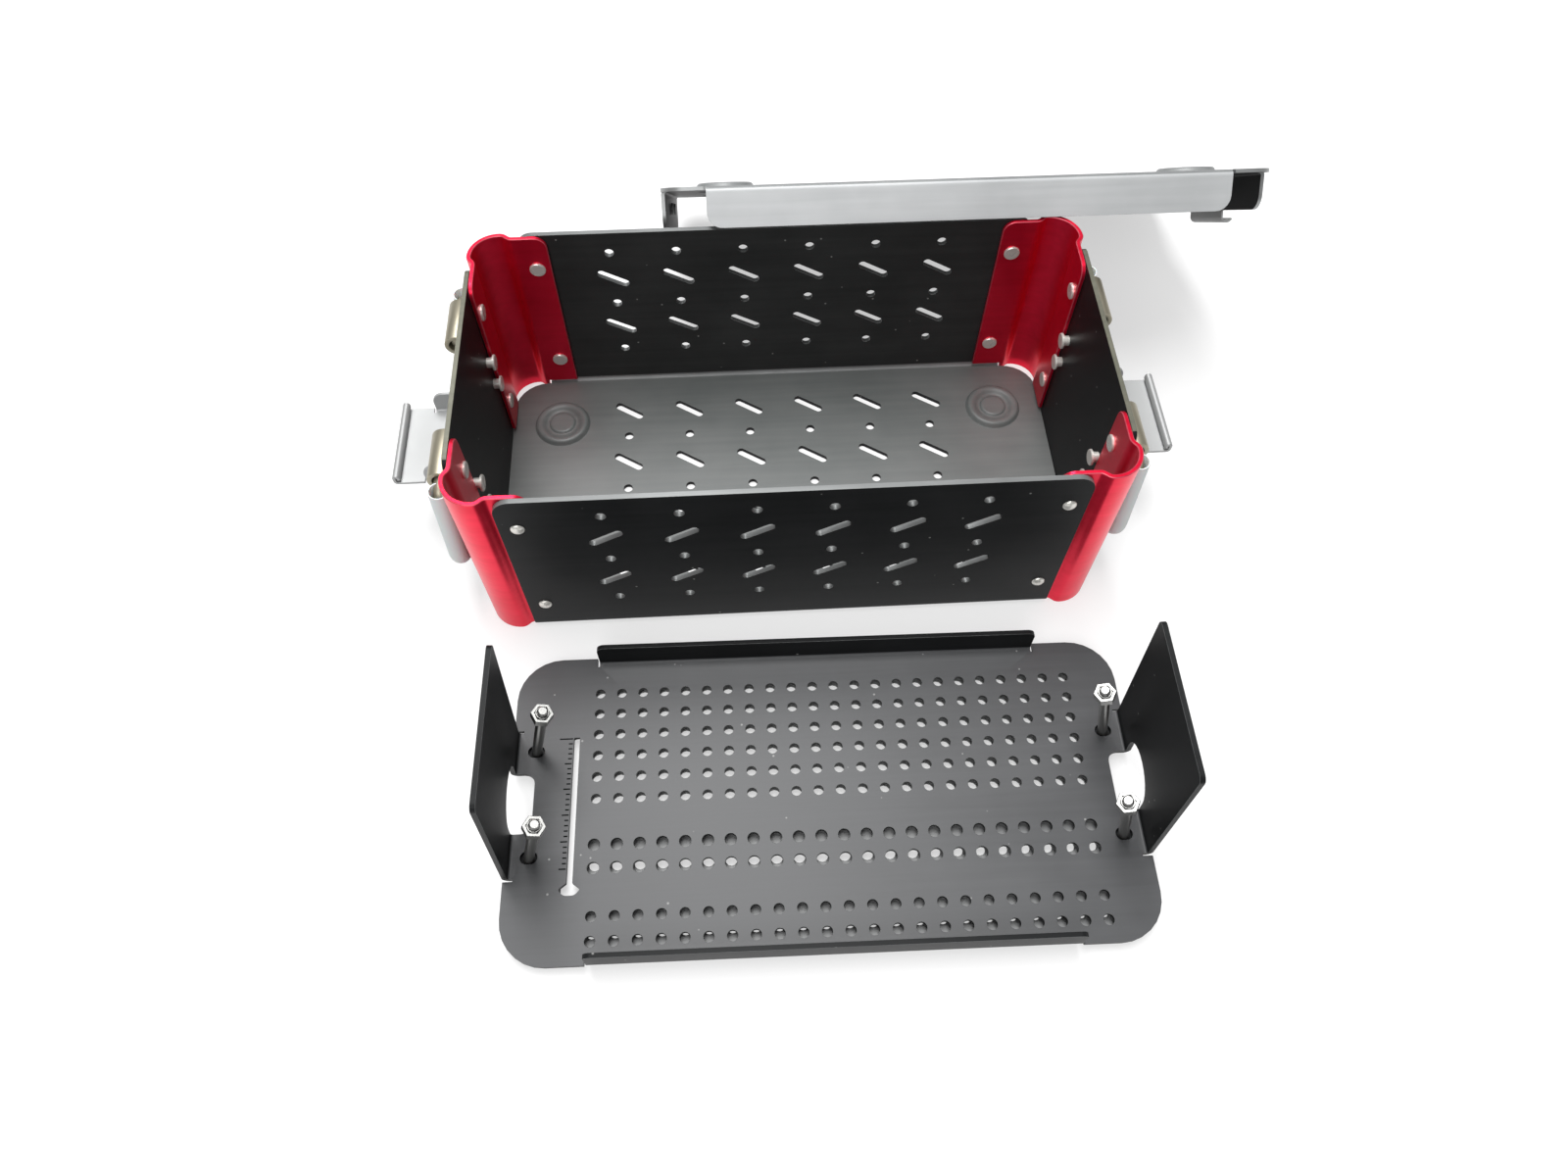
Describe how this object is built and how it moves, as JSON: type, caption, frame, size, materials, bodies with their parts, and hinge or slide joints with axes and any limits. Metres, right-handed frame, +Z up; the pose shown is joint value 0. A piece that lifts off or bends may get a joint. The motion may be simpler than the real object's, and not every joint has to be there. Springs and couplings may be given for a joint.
{
  "type": "orthopedic instrument case",
  "caption": "Open perforated sheet-metal instrument case with red corner posts, side latches and bail handles, its lid leaning behind and its folded screw rack in front.",
  "frame": {"origin": "middle of the underside of the case floor, on the ground", "axes": "+X along the case length towards the right end panel, +Y towards the leaning lid, +Z up"},
  "size_m": [0.3676, 0.3818, 0.1014],
  "materials": {
    "black_sheet": "black anodised, satin",
    "red_sheet": "red anodised, glossy",
    "lid_sheet": "grey anodised, satin",
    "latch_steel": "satin",
    "bright_steel": "bright",
    "nickel": "nickel plated, warm",
    "silicone": "light grey, matte"
  },
  "bodies": {
    "case": {"case_shell": "black_sheet", "end_panel_left": "black_sheet", "latch_base_left": "latch_steel", "latch_pin_left": "latch_steel", "corner_post_front_left": "red_sheet", "handle_knuckle_front_left": "nickel", "wall_rivet_front_left_low": "bright_steel", "wall_rivet_front_left_high": "bright_steel", "panel_rivet_front_left_low": "bright_steel", "panel_rivet_front_left_high": "bright_steel", "corner_post_rear_left": "red_sheet", "handle_knuckle_rear_left": "nickel", "wall_rivet_rear_left_low": "bright_steel", "wall_rivet_rear_left_high": "bright_steel", "panel_rivet_rear_left_low": "bright_steel", "panel_rivet_rear_left_high": "bright_steel", "end_panel_right": "black_sheet", "latch_base_right": "latch_steel", "latch_pin_right": "latch_steel", "corner_post_front_right": "red_sheet", "handle_knuckle_front_right": "nickel", "wall_rivet_front_right_low": "bright_steel", "wall_rivet_front_right_high": "bright_steel", "panel_rivet_front_right_low": "bright_steel", "panel_rivet_front_right_high": "bright_steel", "corner_post_rear_right": "red_sheet", "handle_knuckle_rear_right": "nickel", "wall_rivet_rear_right_low": "bright_steel", "wall_rivet_rear_right_high": "bright_steel", "panel_rivet_rear_right_low": "bright_steel", "panel_rivet_rear_right_high": "bright_steel"},
    "lid": {"lid_shell": "lid_sheet", "lid_keeper_left": "latch_steel", "lid_keeper_right": "latch_steel"},
    "rack": {"rack_upper_plate": "black_sheet", "rack_lower_plate": "black_sheet", "rack_stud_front_left": "bright_steel", "rack_nut_front_left": "bright_steel", "rack_stud_rear_left": "bright_steel", "rack_nut_rear_left": "bright_steel", "rack_stud_front_right": "bright_steel", "rack_nut_front_right": "bright_steel", "rack_stud_rear_right": "bright_steel", "rack_nut_rear_right": "bright_steel"},
    "latch_left": {"latch_lever_left": "latch_steel"},
    "handle_left": {"handle_wire_left": "nickel", "handle_sleeve_left": "silicone"},
    "latch_right": {"latch_lever_right": "latch_steel"},
    "handle_right": {"handle_wire_right": "nickel", "handle_sleeve_right": "silicone"}
  },
  "joints": [
    {"name": "handle_left_swing", "type": "hinge", "parent": "case", "child": "handle_left", "pos_m": [-0.1282, 0, 0.071], "axis": [0, 1, 0], "range_deg": [0, 100]},
    {"name": "latch_left_swing", "type": "hinge", "parent": "case", "child": "latch_left", "pos_m": [-0.1275, 0, 0.0455], "axis": [0, 1, 0], "range_deg": [0, 90]},
    {"name": "handle_right_swing", "type": "hinge", "parent": "case", "child": "handle_right", "pos_m": [0.1282, 0, 0.071], "axis": [0, -1, 0], "range_deg": [0, 100]},
    {"name": "latch_right_swing", "type": "hinge", "parent": "case", "child": "latch_right", "pos_m": [0.1275, 0, 0.0455], "axis": [0, -1, 0], "range_deg": [0, 90]},
    {"name": "lid_lift", "type": "slide", "parent": "case", "child": "lid", "axis": [0, 0, 1], "range_m": [0, 0.15]},
    {"name": "rack_lift", "type": "slide", "parent": "case", "child": "rack", "axis": [0, 0, 1], "range_m": [0, 0.12]}
  ]
}
